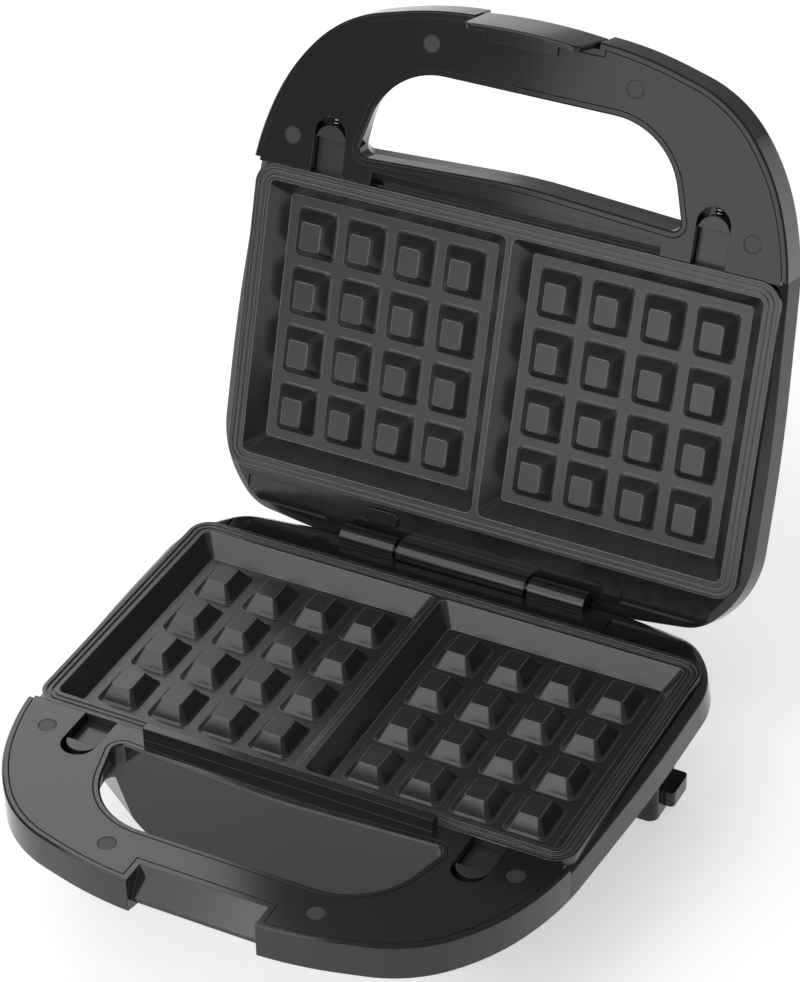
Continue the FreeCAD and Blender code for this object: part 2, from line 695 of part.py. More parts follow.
def guard_recess(grow):
    """Trough in the lid that takes the base's raised bar, or its outside when grown by a wall."""
    rear = PLATE_FRONT - PLATE_PLAY
    half = GUARD_HALF + GUARD_PLAY + grow
    low = FACE_Z - GUARD_HEIGHT - GUARD_PLAY - grow
    high = FACE_Z if grow else ABOVE
    front = rear - GUARD_SET - GUARD_THICK - GUARD_PLAY
    return box(-half, half, front - grow, rear + grow, low, high)


def lead_cover():
    """Low rounded cover on the lid's deck where the heater leads come out of the hinge."""
    half = LEAD_COVER_WIDTH / 2
    corners = rectangle(LEAD_COVER_X - half, LEAD_COVER_X + half, PLATE_REAR + LEAD_COVER_NEAR,
                        PLATE_REAR + LEAD_COVER_FAR, LEAD_COVER_CORNER)
    top = DECK_Z + LEAD_COVER_HEIGHT
    return loft(corners, [(0, SIDE_Z), (0, top - EDGE), (EDGE, top)])


def base_hinge_barrels(grow):
    """The base's two barrels, grown all round to make their seat in the housing."""
    near, far = base_barrel_reach()
    return both_sides(along_x(BARREL_RADIUS + grow, near - grow, far + grow, 0, hinge_z(False)))


def lid_hinge_barrel():
    """Long middle barrel and the web that ties it to the lid's deck."""
    z = hinge_z(True)
    barrel = along_x(BARREL_RADIUS, -LID_BARREL_HALF, LID_BARREL_HALF, 0, z)
    web = box(-LID_BARREL_HALF, LID_BARREL_HALF, -BARREL_RADIUS, BARREL_WEB_REAR, SIDE_Z, z)
    return [barrel, web]


def pin_bore_half():
    """Half length of the bore, which the base barrels close at their outer ends."""
    near, far = base_barrel_reach()
    return far - BARREL_END_WALL


def hinge_pin():
    half = pin_bore_half() - PIN_PLAY
    return along_x(PIN_RADIUS, -half, half, 0, hinge_z(False))


def tapered(sides, levels):
    """Block on a rectangle given by its four sides, through each (inset, corner radius, height)."""
    left, right, near, far = sides
    wires = []
    for inset, radius, z in levels:
        corners = rectangle(left + inset, right - inset, near + inset, far - inset, radius)
        wires.append(outline_wire(corners, 0, z))
    return Part.makeLoft(wires, True, True)


def waffle_plate():
    """Cast plate: grooved rim, two tapered cavities with rows of pegs, lugs under the rim."""
    rim = prism(PLATE, 0, LEDGE_Z, RIM_Z)
    body = prism(PLATE, RIM_WIDTH, PLATE_UNDER, LEDGE_Z)
    lugs = []
    for y in (PLATE_FRONT + RIM_WIDTH - LUG_REACH, PLATE_REAR - RIM_WIDTH):
        lug_top = TAB_UNDER - TAB_PLAY if y < PLATE_MIDDLE else LEDGE_BOTTOM - TAB_PLAY
        block = box(TAB_X - LUG_WIDTH / 2, TAB_X + LUG_WIDTH / 2, y, y + LUG_REACH,
                    lug_top - LUG_HEIGHT, lug_top)
        lugs += both_sides(block)
    plate = joined([rim, body] + lugs)
    cuts = []
    step = RIM_WIDTH / (RIM_GROOVE_COUNT + 1)
    for i in range(RIM_GROOVE_COUNT):
        start = step * (i + 1) - RIM_GROOVE_WIDTH / 2
        ring = prism(PLATE, start, RIM_Z - RIM_GROOVE_DEPTH, RIM_Z)
        cuts.append(ring.cut(prism(PLATE, start + RIM_GROOVE_WIDTH, BOWL_Z, ABOVE)))
    pegs = []
    opening = (DIVIDER_WIDTH / 2, HALF_WIDTH - RIM_WIDTH, PLATE_FRONT + RIM_WIDTH, PLATE_REAR - RIM_WIDTH)
    floor_level = (CAVITY_SLOPE, CAVITY_FLOOR_CORNER, PLATE_FLOOR_Z)
    cavity = tapered(opening, [floor_level, (0, CAVITY_CORNER, RIM_Z)])
    cuts += both_sides(cavity)
    for column in range(PEG_COUNT):
        for row in range(PEG_COUNT):
            pegs += both_sides(peg(column, row))
    plate = plate.cut(cuts)
    return joined([plate] + pegs)


def peg(column, row):
    """One truncated pyramid of the right cavity, rooted in the cavity's floor."""
    x0 = DIVIDER_WIDTH / 2 + CAVITY_SLOPE + PEG_MARGIN
    x1 = HALF_WIDTH - RIM_WIDTH - CAVITY_SLOPE - PEG_MARGIN
    y0 = PLATE_FRONT + RIM_WIDTH + CAVITY_SLOPE + PEG_MARGIN
    y1 = PLATE_REAR - RIM_WIDTH - CAVITY_SLOPE - PEG_MARGIN
    pitch_x = (x1 - x0 + PEG_GAP) / PEG_COUNT
    pitch_y = (y1 - y0 + PEG_GAP) / PEG_COUNT
    left = x0 + pitch_x * column
    right = left + pitch_x - PEG_GAP
    near = y0 + pitch_y * row
    far = near + pitch_y - PEG_GAP
    root = PLATE_FLOOR_Z - PLATE_FLOOR / 2
    top = PLATE_FLOOR_Z + PEG_HEIGHT
    flank = PEG_TAPER - PEG_TOP_EDGE
    return tapered((left, right, near, far), [
        (0, PEG_FOOT_CORNER, root),
        (0, PEG_FOOT_CORNER, PLATE_FLOOR_Z),
        (PEG_FOOT_RUN, PEG_FOOT_CORNER, PLATE_FLOOR_Z + PEG_FOOT_RISE),
        (flank, PEG_TOP_CORNER, top - PEG_TOP_EDGE),
        (PEG_TAPER, PEG_TOP_CORNER, top),
    ])


def heating_element():
    """Tubular heater bent in a loop under the plate, both ends leaving at the rear."""
    side = HALF_WIDTH - ELEMENT_SIDE
    front = PLATE_FRONT + ELEMENT_FRONT
    rear = PLATE_REAR - ELEMENT_REAR
    end = PLATE_REAR - PAN_END / 2
    route = [(-ELEMENT_LEAD_X, end), (-ELEMENT_LEAD_X, rear), (-side, rear), (-side, front),
             (side, front), (side, rear), (ELEMENT_LEAD_X, rear), (ELEMENT_LEAD_X, end)]
    return bent_tube([Vector(x, y, ELEMENT_Z) for x, y in route], ELEMENT_RADIUS, ELEMENT_BEND)


def reflector():
    """Sheet-metal pan below the heater, screwed to posts in the bowl."""
    pan = prism(PAN, 0, PAN_UNDER, PAN_Z + PAN_WALL_HEIGHT)
    cuts = [prism(PAN, PAN_SHEET, PAN_Z, ABOVE)]
    cuts += [upright(SHANK_RADIUS + SHANK_PLAY, x, y, BOWL_Z, ABOVE) for x, y in pan_post_spots()]
    ends = PLATE_REAR - PAN_END - PAN_CORNER
    for side in (-1, 1):
        cuts.append(along_y(ELEMENT_RADIUS + CLIP_PLAY, side * ELEMENT_LEAD_X, ends, PLATE_REAR, ELEMENT_Z))
    return pan.cut(cuts)


def element_clips():
    """Saddles that stand on the pan and carry the heater."""
    side = HALF_WIDTH - ELEMENT_SIDE
    front = PLATE_FRONT + ELEMENT_FRONT
    seat = ELEMENT_RADIUS + CLIP_PLAY
    clips = []
    for x in (-side, side):
        block = box(x - CLIP_LENGTH / 2, x + CLIP_LENGTH / 2, PLATE_MIDDLE - CLIP_WIDTH / 2,
                    PLATE_MIDDLE + CLIP_WIDTH / 2, PAN_Z, ELEMENT_Z)
        clips.append(block.cut(along_y(seat, x, PLATE_FRONT, PLATE_REAR, ELEMENT_Z)))
    block = box(-CLIP_WIDTH / 2, CLIP_WIDTH / 2, front - CLIP_LENGTH / 2, front + CLIP_LENGTH / 2,
                PAN_Z, ELEMENT_Z)
    clips.append(block.cut(along_x(seat, -HALF_WIDTH, HALF_WIDTH, front, ELEMENT_Z)))
    return group(clips)


def screw(x, y, seat):
    """Pan-head screw with a cross slot, its head resting on seat."""
    head = upright(HEAD_RADIUS, x, y, seat, seat + HEAD_HEIGHT)
    shank = upright(SHANK_RADIUS, x, y, seat - SHANK_LENGTH, seat)
    slot_half = HEAD_RADIUS * 0.6
    slot_low = seat + HEAD_HEIGHT / 2
    slots = [box(x - slot_half, x + slot_half, y - EDGE / 2, y + EDGE / 2, slot_low, ABOVE),
             box(x - EDGE / 2, x + EDGE / 2, y - slot_half, y + slot_half, slot_low, ABOVE)]
    return joined([head, shank]).cut(slots)


def handle_screws():
    return group([screw(x, y, handle_seat()) for x, y in cap_spots()])


def ledge_screws():
    return group([screw(x, y, ledge_seat()) for x, y in ledge_screw_spots()])


def pan_screws():
    return group([screw(x, y, PAN_Z) for x, y in pan_post_spots()])


def screw_caps():
    return group([upright(CAP_RADIUS, x, y, FACE_Z - CAP_THICK - CAP_PLAY, FACE_Z - CAP_PLAY)
                  for x, y in cap_spots()])


def release_tab():
    """Right-hand plate release: finger button, flat slide and the tongue over the plate's lug."""
    half = SLOT_WIDTH / 2 - TAB_PLAY
    centre = TAB_FRONT + half
    tip = PLATE_FRONT + TAB_TONGUE
    slide = joined([upright(half, TAB_X, centre, TAB_UNDER, TAB_TOP),
                    box(TAB_X - half, TAB_X + half, centre, tip, TAB_UNDER, TAB_TOP)])
    button = upright(half, TAB_X, centre, TAB_TOP, FACE_Z - TAB_BUTTON_SINK)
    beyond = TAB_FRONT + TAB_BUTTON_LENGTH
    button = button.cut(box(TAB_X - SLOT_WIDTH, TAB_X + SLOT_WIDTH, beyond, PLATE_REAR, BOWL_Z, ABOVE))
    return joined([slide, button])


def tab_spring():
    """Small compression spring between a tab and the end of its tunnel."""
    pitch = (SPRING_LENGTH - 2 * SPRING_WIRE) / SPRING_TURNS
    path = Part.makeHelix(pitch, pitch * SPRING_TURNS, SPRING_RADIUS - SPRING_WIRE)
    circle = Part.makeCircle(SPRING_WIRE, Vector(SPRING_RADIUS - SPRING_WIRE, 0, 0), Vector(0, 1, 0))
    coil = Part.Wire(path).makePipeShell([Part.Wire([circle])], True, True)
    coil.rotate(Vector(0, 0, 0), Vector(1, 0, 0), -90)
    coil.translate(Vector(TAB_X, spring_seat() + SPRING_WIRE, spring_z()))
    return coil


def thermostat():
    """Round bimetal switch under the pan with its two flat blades."""
    top = PAN_UNDER
    can = upright(THERMOSTAT_RADIUS, 0, PLATE_MIDDLE, top - THERMOSTAT_HEIGHT, top)
    blades = []
    for side in (-1, 1):
        x = side * THERMOSTAT_RADIUS / 2
        low = top - THERMOSTAT_HEIGHT - THERMOSTAT_BLADE
        blades.append(box(x - EDGE / 2, x + EDGE / 2, PLATE_MIDDLE - THERMOSTAT_RADIUS / 2,
                          PLATE_MIDDLE + THERMOSTAT_RADIUS / 2, low, top - THERMOSTAT_HEIGHT))
    return joined([can] + blades)


def thermal_fuse():
    """Sleeved one-shot fuse lying under the pan."""
    half = FUSE_LENGTH / 2
    return along_y(FUSE_RADIUS, FUSE_X, PLATE_MIDDLE - half, PLATE_MIDDLE + half, fuse_z())


def fuse_z():
    return PAN_UNDER - FUSE_GAP - FUSE_RADIUS


def lead_wires():
    """Stiff leads from the heater's two ends to the thermostat and to the fuse."""
    end = PLATE_REAR - PAN_END / 2
    back = end + LEAD_BACK
    leads = []
    half = THERMOSTAT_RADIUS / 2
    for side, x, z, stop in ((1, half, PAN_UNDER - LEAD_DROP, PLATE_MIDDLE + half),
                             (-1, FUSE_X, fuse_z(), PLATE_MIDDLE + FUSE_LENGTH / 2)):
        start = side * ELEMENT_LEAD_X
        route = [(start, end, ELEMENT_Z), (start, back, ELEMENT_Z), (start, back, z), (x, back, z),
                 (x, stop, z)]
        leads.append(bent_tube([Vector(*point) for point in route], LEAD_RADIUS, LEAD_BEND))
    return group(leads)


def terminal_block():
    """Ceramic block on the bowl's floor with its row of wire holes."""
    floor = BOWL_Z + WALL
    x0 = BLOCK_X - BLOCK_LENGTH / 2
    y0 = PLATE_REAR - PAN_POST_INSET
    block = box(x0, x0 + BLOCK_LENGTH, y0, y0 + BLOCK_WIDTH, floor, floor + BLOCK_HEIGHT)
    bores = []
    for i in range(3):
        x = x0 + BLOCK_LENGTH * (i + 0.5) / 3
        bores.append(along_y(FUSE_RADIUS, x, y0 - EDGE, y0 + BLOCK_WIDTH + EDGE, floor + BLOCK_HEIGHT / 2))
    return block.cut(bores)


def gland_body(radius):
    """Cylinder through the bowl's rear wall where the cord enters."""
    z = FACE_Z - GLAND_DROP
    return along_y(radius, GLAND_X, GLAND_Y - GLAND_LENGTH, GLAND_Y - GLAND_LENGTH / 4, z)


def cord_gland():
    """Bushing in the bowl's rear wall with the bore for the cord."""
    z = FACE_Z - GLAND_DROP
    inner_end = GLAND_Y - GLAND_LENGTH
    lip = along_y(GLAND_RADIUS + GLAND_LIP, GLAND_X, inner_end - GLAND_LIP, inner_end, z)
    bore = along_y(GLAND_BORE, GLAND_X, inner_end - 2 * GLAND_LIP, GLAND_Y + GLAND_LIP, z)
    return joined([gland_body(GLAND_RADIUS), lip]).cut(bore)


def foot_pads():
    return group([upright(PAD_RADIUS, x, y, FLOOR_Z, FLOOR_Z + PAD_THICK) for x, y in pad_spots()])


def indicator_lens(index):
    """Clear lamp lens, pressed into the lid from outside."""
    x, y = lens_spots()[index]
    stem = upright(LENS_RADIUS, x, y, BOWL_Z, BOWL_Z + LENS_DEPTH)
    flange = upright(LENS_FLANGE, x, y, BOWL_Z - LENS_FLANGE_THICK, BOWL_Z)
    return joined([stem, flange])


def neon_lamps():
    low = BOWL_Z + LENS_DEPTH
    return group([upright(LAMP_RADIUS, x, y, low, low + LAMP_LENGTH) for x, y in lens_spots()])


def latch_plate(half, low, high):
    """Curved plate of the latch, bulging like the handle's front, narrower at its free end."""
    sheet = []
    for deep in (0, LATCH_THICK):
        y = FRONT_Y + LATCH_SET_BACK + deep
        sheet.append((Vector(-half, y, low), Vector(0, y - LATCH_BULGE, low), Vector(half, y, low)))
    (left, middle, right), (left_in, middle_in, right_in) = sheet
    section = Part.Wire([
        Part.Arc(left, middle, right).toShape(),
        Part.makeLine(right, right_in),
        Part.Arc(right_in, middle_in, left_in).toShape(),
        Part.makeLine(left_in, left),
    ])
    slab = Part.Face(section).extrude(Vector(0, 0, high - low))
    tip = half - LATCH_NARROWING
    corners = [(-half, low, EDGE), (half, low, EDGE), (tip, high, LATCH_CORNER), (-tip, high, LATCH_CORNER)]
    outline = prism(corners, 0, -FRONT_Y - ABOVE, ABOVE - FRONT_Y)
    outline.rotate(Vector(0, 0, 0), Vector(1, 0, 0), 90)
    plate = slab.common(outline)
    outside = min(plate.Faces, key=lambda face: face.CenterOfMass.y)
    return plate.makeFillet(EDGE, outside.Edges)


def latch_clip():
    """Clip in the lid's notch as it hooks the base: plate, pivot arm, trunnions and hook."""
    half = NOTCH_WIDTH / 2 - LATCH_SIDE_PLAY
    pivot_y, pivot_z = latch_pivot()
    root = FRONT_Y + LATCH_ROOT
    hook_low = LATCH_UNDER - catch_under()
    hook_high = hook_low + LATCH_HOOK_THICK
    plate = latch_plate(half, FACE_Z - LATCH_TAIL, hook_high + LATCH_LIP)
    arm = along_x(LATCH_ARM, -half, half, pivot_y, pivot_z)
    tie = box(-half, half, root, pivot_y, pivot_z - LATCH_TRUNNION, pivot_z + LATCH_TRUNNION)
    reach = half + LATCH_SIDE_PLAY + LATCH_TRUNNION_LENGTH
    trunnions = along_x(LATCH_TRUNNION, -reach, reach, pivot_y, pivot_z)
    hook_tip = FRONT_Y + NOTCH_FOOT_IN + LATCH_HOOK_GRIP
    hook = box(-LATCH_HOOK_HALF, LATCH_HOOK_HALF, root, hook_tip, hook_low, hook_high)
    return joined([plate, arm, tie, trunnions, hook])


def lid_placed(shape):
    """Turns a half over onto the base and opens it about the hinge."""
    closed = shape.mirror(Vector(0, 0, 0), Vector(0, 0, 1))
    closed.rotate(Vector(0, 0, -HINGE_DROP), Vector(1, 0, 0), -OPEN_ANGLE)
    return closed


def lid_point(y, z):
    """A lid point (y, z) of the half's own frame, as it stands open."""
    turn = math.radians(OPEN_ANGLE)
    up = -z + HINGE_DROP
    rear = y * math.cos(turn) + up * math.sin(turn)
    return Vector(0, rear, up * math.cos(turn) - y * math.sin(turn) - HINGE_DROP)


def half_nodes(lid):
    """The pieces that both halves have, named for the half."""
    name = "lid_" if lid else "base_"
    right_tab = release_tab()
    right_spring = tab_spring()
    flip = Vector(1, 0, 0)
    return {
        name + "housing": housing(lid),
        name + "inner_frame": inner_frame(lid),
        name + "waffle_plate": waffle_plate(),
        name + "heating_element": heating_element(),
        name + "element_clips": element_clips(),
        name + "reflector": reflector(),
        name + "reflector_screws": pan_screws(),
        name + "handle_screws": handle_screws(),
        name + "frame_screws": ledge_screws(),
        name + "screw_caps": screw_caps(),
        name + "release_tab_right": right_tab,
        name + "release_tab_left": right_tab.mirror(Vector(0, 0, 0), flip),
        name + "tab_spring_right": right_spring,
        name + "tab_spring_left": right_spring.mirror(Vector(0, 0, 0), flip),
        name + "thermostat": thermostat(),
        name + "thermal_fuse": thermal_fuse(),
        name + "lead_wires": lead_wires(),
    }


def build():
    """All nodes in the open pose, hinge at y = 0 and parting plane at z = 0."""
    nodes = half_nodes(False)
    nodes["hinge_pin"] = hinge_pin()
    nodes["foot_pads"] = foot_pads()
    nodes["terminal_block"] = terminal_block()
    nodes["cord_gland"] = cord_gland()
    lid = half_nodes(True)
    lid["power_lens"] = indicator_lens(0)
    lid["ready_lens"] = indicator_lens(1)
    lid["indicator_lamps"] = neon_lamps()
    lid["latch_clip"] = latch_clip()
    for name, shape in lid.items():
        nodes[name] = lid_placed(shape)
    return nodes


def main():
    nodes = build()
    whole = group(list(nodes.values())).optimalBoundingBox(False)
    shift = Vector(-(whole.XMin + whole.XMax) / 2, -(whole.YMin + whole.YMax) / 2, -FLOOR_Z)
    os.makedirs("parts", exist_ok=True)
    for name, shape in nodes.items():
        shape.translate(shift)
        shape.exportStep("parts/" + name + ".step")
        solids = shape.Solids
        print(name, "solids", len(solids), "volume", round(shape.Volume, 1), "valid", shape.isValid())
    print("size", round(whole.XLength, 2), round(whole.YLength, 2), round(whole.ZMax - FLOOR_Z, 2))
    hinge = Vector(0, 0, -HINGE_DROP) + shift
    pivot = lid_point(*latch_pivot()) + shift
    print("hinge", [round(v, 3) for v in hinge], "latch pivot", [round(v, 3) for v in pivot])
    print("shift", [round(v, 3) for v in shift])


main()
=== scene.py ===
# %% [markdown]
# A waffle maker standing open.
# The solids come from CAD as a fixed frame, one object per piece, and they already move on their bodies.
# This lesson gives every piece its finish, then sets the floor, the light and the camera. Pieces could be
# modelled over the solids, but the solids already have the shapes that show, so none is added.
# Lengths are metres, and Z points up.

# %% Load the frame
import json
import math

import bpy
from mathutils import Matrix, Vector

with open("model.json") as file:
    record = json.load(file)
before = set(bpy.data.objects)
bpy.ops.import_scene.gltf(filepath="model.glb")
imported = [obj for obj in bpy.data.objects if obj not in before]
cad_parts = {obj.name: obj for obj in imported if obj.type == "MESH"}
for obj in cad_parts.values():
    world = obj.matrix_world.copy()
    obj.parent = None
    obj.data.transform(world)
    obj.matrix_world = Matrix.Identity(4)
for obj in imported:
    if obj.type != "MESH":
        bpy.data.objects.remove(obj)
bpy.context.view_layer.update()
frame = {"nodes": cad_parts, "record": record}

bpy.ops.object.select_all(action="DESELECT")

# %% [markdown]
# Shader maths reads best as plain sums. A Wire is one output socket, and its operators add Math nodes.
# A Finish is one material with its Principled shader, and its node method adds any other kind of node:
# the settings are set first, because a node's sockets can depend on them.
# Edges are found by comparing the true normal with one that is rounded over a small radius. An edge mask
# could be painted by hand instead, but this one follows every solid without any marking.

# %% Wires and finishes
MM = 0.001
EDGE_SAMPLES = 6
FLAT_MATCH, EDGE_MATCH = 0.995, 0.95
MIX_FIRST, MIX_SECOND, MIX_RESULT = 6, 7, 2


class Wire:
    """One output socket, with sums that add Math nodes."""

    def __init__(self, finish, socket):
        self.finish = finish
        self.socket = socket

    def sum(self, operation, first, second):
        return self.finish.node("ShaderNodeMath", {"operation": operation}, {0: first, 1: second})

    def __add__(self, other):
        return self.sum("ADD", self, other)

    def __radd__(self, other):
        return self.sum("ADD", other, self)

    def __mul__(self, other):
        return self.sum("MULTIPLY", self, other)

    def __rmul__(self, other):
        return self.sum("MULTIPLY", other, self)


class Finish:
    """A material and its nodes."""

    def __init__(self, name, **constants):
        self.material = bpy.data.materials.new(name)
        self.material.use_nodes = True
        self.tree = self.material.node_tree
        self.shader = self.tree.nodes["Principled BSDF"]
        self.set(constants)

    def plug(self, socket, value):
        if isinstance(value, Wire):
            self.tree.links.new(value.socket, socket)
        else:
            socket.default_value = value

    def set(self, sockets):
        for name, value in sockets.items():
            self.plug(self.shader.inputs[name.replace("_", " ")], value)

    def node(self, kind, settings, sockets, output=0):
        made = self.tree.nodes.new(kind)
        for name, value in settings.items():
            setattr(made, name, value)
        for name, value in sockets.items():
            self.plug(made.inputs[name], value)
        return Wire(self, made.outputs[output])

    def place(self):
        return self.node("ShaderNodeTexCoord", {}, {}, "Object")

    def noise(self, size, detail=2.0, rough=0.5):
        return self.node("ShaderNodeTexNoise", {},
                         {"Vector": self.place(), "Scale": 1 / size, "Detail": detail, "Roughness": rough})

    def cells(self, size):
        return self.node("ShaderNodeTexVoronoi", {}, {"Vector": self.place(), "Scale": 1 / size}, "Distance")

    def span(self, value, low, high, to_low, to_high):
        ends = {"Value": value, "From Min": low, "From Max": high, "To Min": to_low, "To Max": to_high}
        return self.node("ShaderNodeMapRange", {"interpolation_type": "SMOOTHSTEP"}, ends)

    def blend(self, share, first, second):
        ends = {"Factor": share, MIX_FIRST: first, MIX_SECOND: second}
        return self.node("ShaderNodeMix", {"data_type": "RGBA"}, ends, MIX_RESULT)

    def soft_edges(self, radius):
        return self.node("ShaderNodeBevel", {"samples": EDGE_SAMPLES}, {"Radius": radius})

    def bump(self, height, distance, strength, normal):
        return self.node("ShaderNodeBump", {}, {"Height": height, "Distance": distance,
                                                "Strength": strength, "Normal": normal})

    def edge(self, radius):
        """One along outer and inner edges, nought on open faces."""
        soft = self.soft_edges(radius)
        plain = self.node("ShaderNodeNewGeometry", {}, {}, "Normal")
        same = self.node("ShaderNodeVectorMath", {"operation": "DOT_PRODUCT"}, {0: soft, 1: plain}, "Value")
        return self.span(same, FLAT_MATCH, EDGE_MATCH, 0.0, 1.0)


def grey(level, warm=0.0):
    return (level * (1 + warm), level, level * (1 - warm), 1.0)


print("wires and finishes ready")

# %% [markdown]
# Black moulded plastic is never one flat black. The mould leaves a slow waviness, the gloss changes a
# little from place to place, and edges are rougher where they are rubbed. They are also paler, partly from
# the rubbing and partly from a painted highlight. One function makes all four blacks, because they differ
# only in how dark, how glossy and how grained they are.

# %% Black mouldings
PLASTIC_IOR = 1.5
WAVE_SIZE = 38 * MM
WAVE_LOW, WAVE_HIGH = 0.15, 0.85
SHADE_LOW, SHADE_HIGH = 0.88, 1.12
# The edge radius, share and paleness below set the paler edges, which are partly rubbed wear and partly a
# painted highlight.
RUB_AND_HIGHLIGHT_RADIUS = 0.5 * MM
RUB_AND_HIGHLIGHT_SHARE = 0.35
RUB_AND_HIGHLIGHT_PALER = 2.2
RUB_ROUGHER = 0.06
GRAIN_DETAIL = 3.0
GRAIN_STRENGTH = 0.5
MOULD_CORNER = 0.35 * MM


def moulding(name, level, rough, swing, specular, grain, grain_depth):
    made = Finish(name, Specular_IOR_Level=specular, IOR=PLASTIC_IOR)
    cloud = made.noise(WAVE_SIZE)
    rubbed_and_highlit_edges = made.edge(RUB_AND_HIGHLIGHT_RADIUS)
    speck = made.noise(grain, GRAIN_DETAIL)
    shade = made.blend(cloud, grey(level * SHADE_LOW), grey(level * SHADE_HIGH))
    gloss = made.span(cloud, WAVE_LOW, WAVE_HIGH, rough - swing, rough + swing)
    made.set({
        # Paler edges in the base colour: partly rubbed wear, partly a painted highlight line along every
        # edge.
        "Base Color": made.blend(rubbed_and_highlit_edges * RUB_AND_HIGHLIGHT_SHARE, shade, grey(level * RUB_AND_HIGHLIGHT_PALER)),
        "Roughness": gloss + rubbed_and_highlit_edges * RUB_ROUGHER,
        "Normal": made.bump(speck, grain_depth, GRAIN_STRENGTH, made.soft_edges(MOULD_CORNER)),
    })
    return made.material


housing_plastic = moulding("housing_satin_black", level=0.013, rough=0.1, swing=0.02, specular=0.5,
                           grain=1.4 * MM, grain_depth=0.002 * MM)
frame_plastic = moulding("frame_satin_black", level=0.013, rough=0.1, swing=0.02, specular=0.5,
                         grain=1.2 * MM, grain_depth=0.002 * MM)
cap_plastic = moulding("cap_matt_black", level=0.034, rough=0.3, swing=0.04, specular=0.4,
                       grain=0.6 * MM, grain_depth=0.008 * MM)
tab_plastic = moulding("tab_grained_black", level=0.024, rough=0.22, swing=0.03, specular=0.5,
                       grain=0.5 * MM, grain_depth=0.006 * MM)
print("mouldings", [m.name for m in (housing_plastic, frame_plastic, cap_plastic, tab_plastic)])

# %% [markdown]
# The plates are cast, then blasted and sprayed with a dark warm coat. The blasting leaves a fine tooth,
# the spray is thin on sharp edges, and it carries a few pale mineral specks. The edges are painted much
# paler than the thin spray alone would make them: this is a painted highlight line along every edge. The
# tooth is far too fine to model, so a noise makes it as bump and as a change of gloss.

# %% Non-stick coat
COAT_SPECULAR = 0.6
COAT_DARK, COAT_PALE = grey(0.02, 0.06), grey(0.026, 0.08)
COAT_CLOUD, COAT_CLOUD_DETAIL = 24 * MM, 3.0
COAT_LOW, COAT_HIGH = 0.2, 0.8
COAT_GLOSSY, COAT_DULL = 0.19, 0.24
TOOTH_SIZE, TOOTH_DETAIL, TOOTH_ROUGH = 0.35 * MM, 4.0, 0.6
TOOTH_DEPTH, TOOTH_STRENGTH, TOOTH_DULLER = 0.006 * MM, 0.5, 0.05
FLECK_SPACING, FLECK_OUTSIDE, FLECK_INSIDE = 0.9 * MM, 0.13, 0.08
FLECK_SHARE, FLECK_COLOUR = 0.15, grey(0.09, 0.05)
# The edge radius, share and colour below set the pale edges, which are partly thin-coat wear and mostly a
# painted highlight.
WORN_AND_HIGHLIGHT_RADIUS, WORN_AND_HIGHLIGHT_SHARE, WORN_AND_HIGHLIGHT_COLOUR = 0.45 * MM, 0.75, grey(0.26, 0.03)
COAT_CORNER = 0.4 * MM


def nonstick(name):
    made = Finish(name, Specular_IOR_Level=COAT_SPECULAR, IOR=PLASTIC_IOR)
    tooth = made.noise(TOOTH_SIZE, TOOTH_DETAIL, TOOTH_ROUGH)
    cloud = made.noise(COAT_CLOUD, COAT_CLOUD_DETAIL)
    worn_and_highlit_edges = made.edge(WORN_AND_HIGHLIGHT_RADIUS)
    flecks = made.span(made.cells(FLECK_SPACING), FLECK_OUTSIDE, FLECK_INSIDE, 0.0, 1.0)
    shade = made.blend(cloud, COAT_DARK, COAT_PALE)
    flecked = made.blend(flecks * FLECK_SHARE, shade, FLECK_COLOUR)
    gloss = made.span(cloud, COAT_LOW, COAT_HIGH, COAT_GLOSSY, COAT_DULL)
    made.set({
        # Pale edges in the base colour: thin-coat wear plus a painted highlight line along every edge.
        "Base Color": made.blend(worn_and_highlit_edges * WORN_AND_HIGHLIGHT_SHARE, flecked, WORN_AND_HIGHLIGHT_COLOUR),
        "Roughness": gloss + tooth * TOOTH_DULLER,
        "Normal": made.bump(tooth, TOOTH_DEPTH, TOOTH_STRENGTH, made.soft_edges(COAT_CORNER)),
    })
    return made.material


plate_coat = nonstick("plate_nonstick_coat")
print("coat", plate_coat.name)

# %% [markdown]
# The inner metals are seen only when the maker is taken apart: bright zinc on screws, clips and springs,
# rolled sheet on the reflectors, a dull heat-stained sheath on the element and a pressed can. A noise that
# is stretched along one axis gives rolling marks, and an even one gives a plated or stained grain.

# %% Inner metals
STREAK_DETAIL = 3.0
STREAK_LOW, STREAK_HIGH = 0.2, 0.8
STREAK_SWING = 0.08
STREAK_DEPTH, STREAK_STRENGTH = 0.01 * MM, 0.4
STAIN_SIZE, STAIN_DETAIL = 14 * MM, 3.0
METAL_CORNER = 0.15 * MM


def metal(name, colour, stain, rough, streak):
    made = Finish(name, Metallic=1.0)
    run = made.node("ShaderNodeMapping", {}, {"Vector": made.place(), "Scale": streak})
    lines = made.node("ShaderNodeTexNoise", {}, {"Vector": run, "Scale": 1.0, "Detail": STREAK_DETAIL})
    cloud = made.noise(STAIN_SIZE, STAIN_DETAIL)
    made.set({
        "Base Color": made.blend(cloud, colour, stain),
        "Roughness": made.span(lines, STREAK_LOW, STREAK_HIGH, rough - STREAK_SWING, rough + STREAK_SWING),
        "Normal": made.bump(lines, STREAK_DEPTH, STREAK_STRENGTH, made.soft_edges(METAL_CORNER)),
    })
    return made.material


